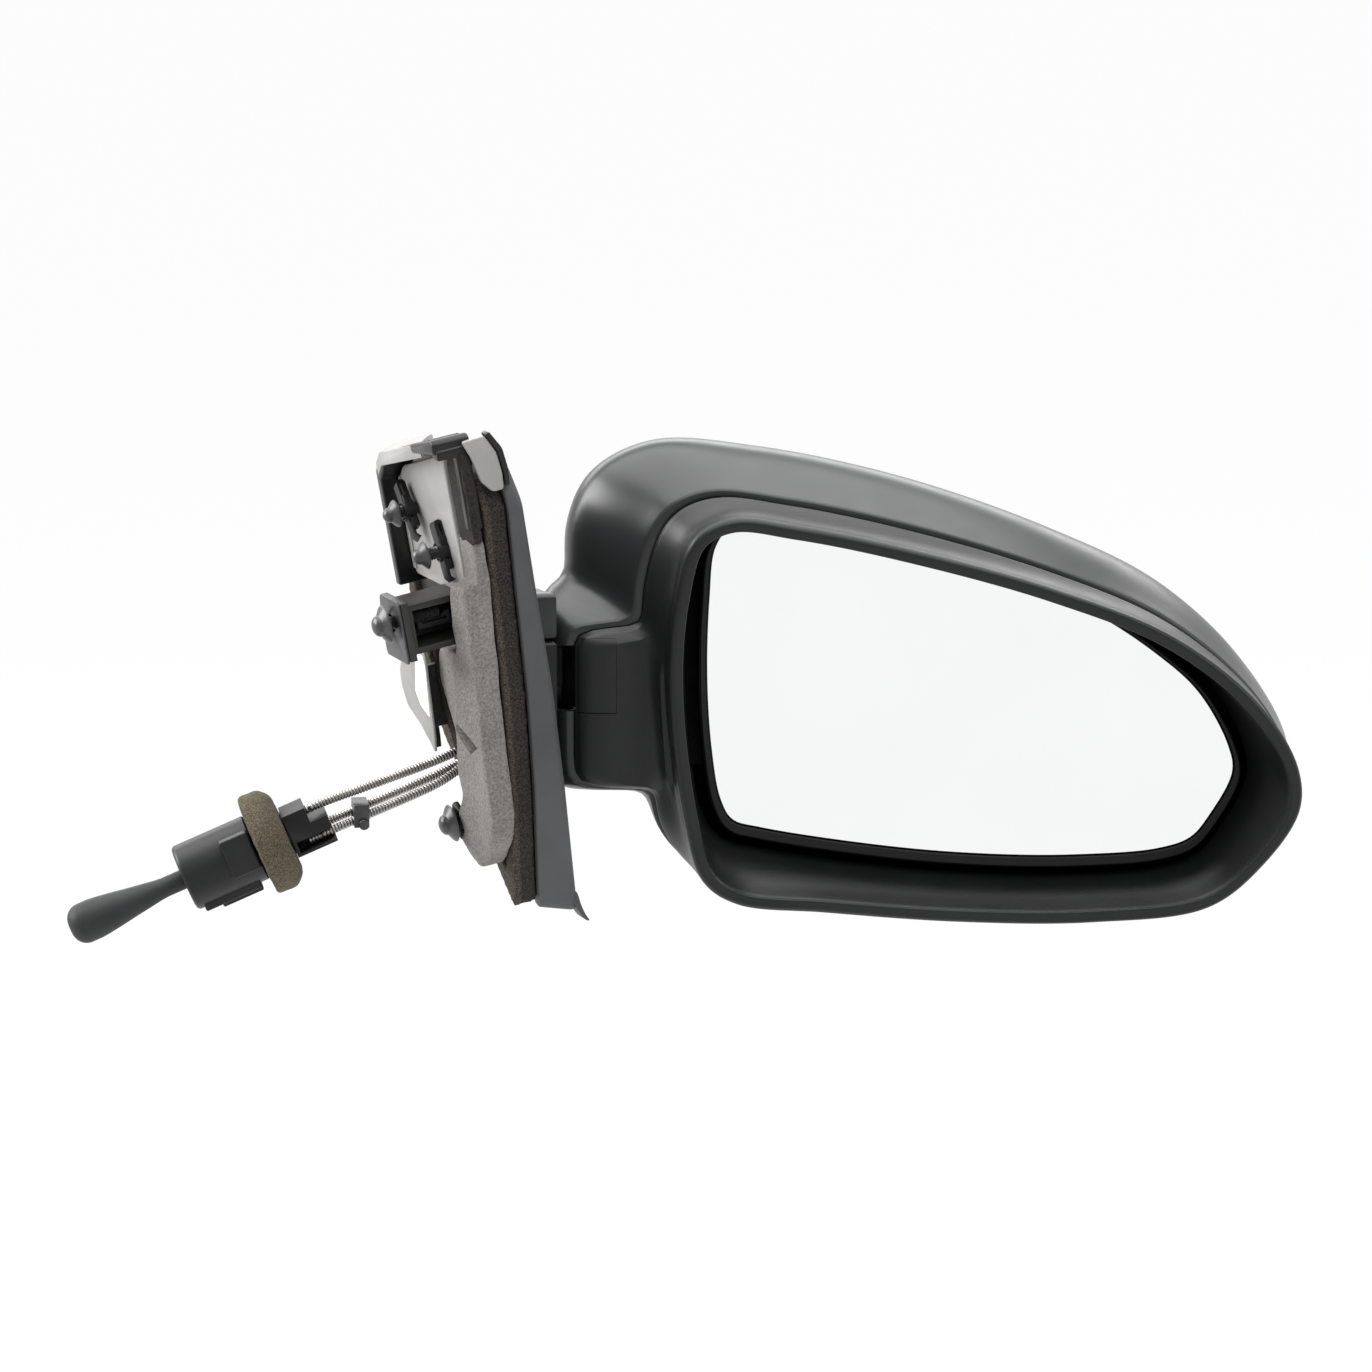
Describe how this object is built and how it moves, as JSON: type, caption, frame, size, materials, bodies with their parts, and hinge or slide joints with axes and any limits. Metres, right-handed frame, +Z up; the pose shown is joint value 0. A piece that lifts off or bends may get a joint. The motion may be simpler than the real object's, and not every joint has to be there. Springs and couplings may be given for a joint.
{
  "type": "car side mirror",
  "caption": "Folding car side mirror: black head with tilting glass on a door foot with foam seal, screws and clips, worked by a cabin stick through steel cable conduits.",
  "frame": {"origin": "on the plane where the foot meets the door, at the cable opening in the middle of the foot", "axes": "+X outboard from the car towards the tip of the head, +Y towards the front of the car, +Z up; the glass faces -Y"},
  "size_m": [0.4097, 0.1147, 0.1706],
  "materials": {
    "satin_black": "smooth satin black",
    "grain_black": "fine-grained matte black",
    "grey_plastic": "smooth dark grey",
    "mirror_silver": "polished mirror",
    "foam_grey": "warm grey felted foam",
    "foam_dark": "dark closed-cell foam",
    "foam_brown": "olive-brown foam",
    "cast_metal": "die-cast, as cast",
    "steel": "bare steel",
    "dark_steel": "dark coated steel",
    "rubber": "matte black"
  },
  "bodies": {
    "base": {"adjuster_foam_ring": "foam_brown", "adjuster_housing": "satin_black", "arm_shroud": "grain_black", "base_bracket": "cast_metal", "base_cover": "grey_plastic", "cable_anchor": "satin_black", "cable_clip": "dark_steel", "cable_grommet": "rubber", "clip_block": "satin_black", "conduit_lower": "steel", "conduit_middle": "steel", "conduit_upper": "steel", "corner_hood": "grey_plastic", "door_gasket": "foam_dark", "door_screw_lower": "dark_steel", "door_screw_middle": "dark_steel", "door_screw_side": "dark_steel", "door_screw_upper": "dark_steel", "foam_pad": "foam_grey", "fold_spring": "steel", "hood_foam_strip": "foam_brown", "pivot_tube": "steel", "screw_clip_lower": "satin_black", "screw_clip_middle": "satin_black", "screw_clip_upper": "satin_black", "spring_cup": "steel", "thrust_washer": "steel"},
    "head": {"upper_cap": "satin_black", "bezel_frame": "grain_black", "pivot_access_cover": "satin_black", "head_bracket": "cast_metal", "actuator_base": "satin_black", "actuator_screw_1": "steel", "actuator_screw_2": "steel", "actuator_screw_3": "steel", "cap_screw_1": "steel", "cap_screw_2": "steel", "head_conduit_upper": "steel", "head_conduit_left": "steel", "head_conduit_right": "steel"},
    "gimbal": {"gimbal_ring": "steel"},
    "glass": {"glass_carrier": "grain_black", "adhesive_pad": "foam_dark", "mirror_glass": "mirror_silver", "pull_wire_upper": "steel", "pull_wire_left": "steel", "pull_wire_right": "steel"},
    "lever_pin": {"lever_cross_pin": "steel"},
    "lever": {"adjuster_lever": "grain_black"}
  },
  "joints": [
    {"name": "head_fold", "type": "hinge", "parent": "base", "child": "head", "pos_m": [0.048, 0.006, 0], "axis": [0, 0, 1], "range_deg": [-38, 50]},
    {"name": "glass_up_down", "type": "hinge", "parent": "head", "child": "gimbal", "pos_m": [0.169, 0.005, -0.008], "axis": [1, 0, 0], "range_deg": [-6.5, 6.5]},
    {"name": "glass_left_right", "type": "hinge", "parent": "gimbal", "child": "glass", "pos_m": [0.169, 0.005, -0.008], "axis": [0, 0, 1], "range_deg": [-6.5, 6.5]},
    {"name": "lever_left_right", "type": "hinge", "parent": "base", "child": "lever_pin", "pos_m": [-0.0845, -0.015, -0.0563], "axis": [-0.3827, 0, 0.9239], "range_deg": [-13, 13]},
    {"name": "lever_up_down", "type": "hinge", "parent": "lever_pin", "child": "lever", "pos_m": [-0.0845, -0.015, -0.0563], "axis": [0, 1, 0], "range_deg": [-13, 13]}
  ],
  "couplings": [
    {"joint": "lever_left_right", "follows": "glass_left_right", "ratio": 2},
    {"joint": "lever_up_down", "follows": "glass_up_down", "ratio": -2}
  ]
}
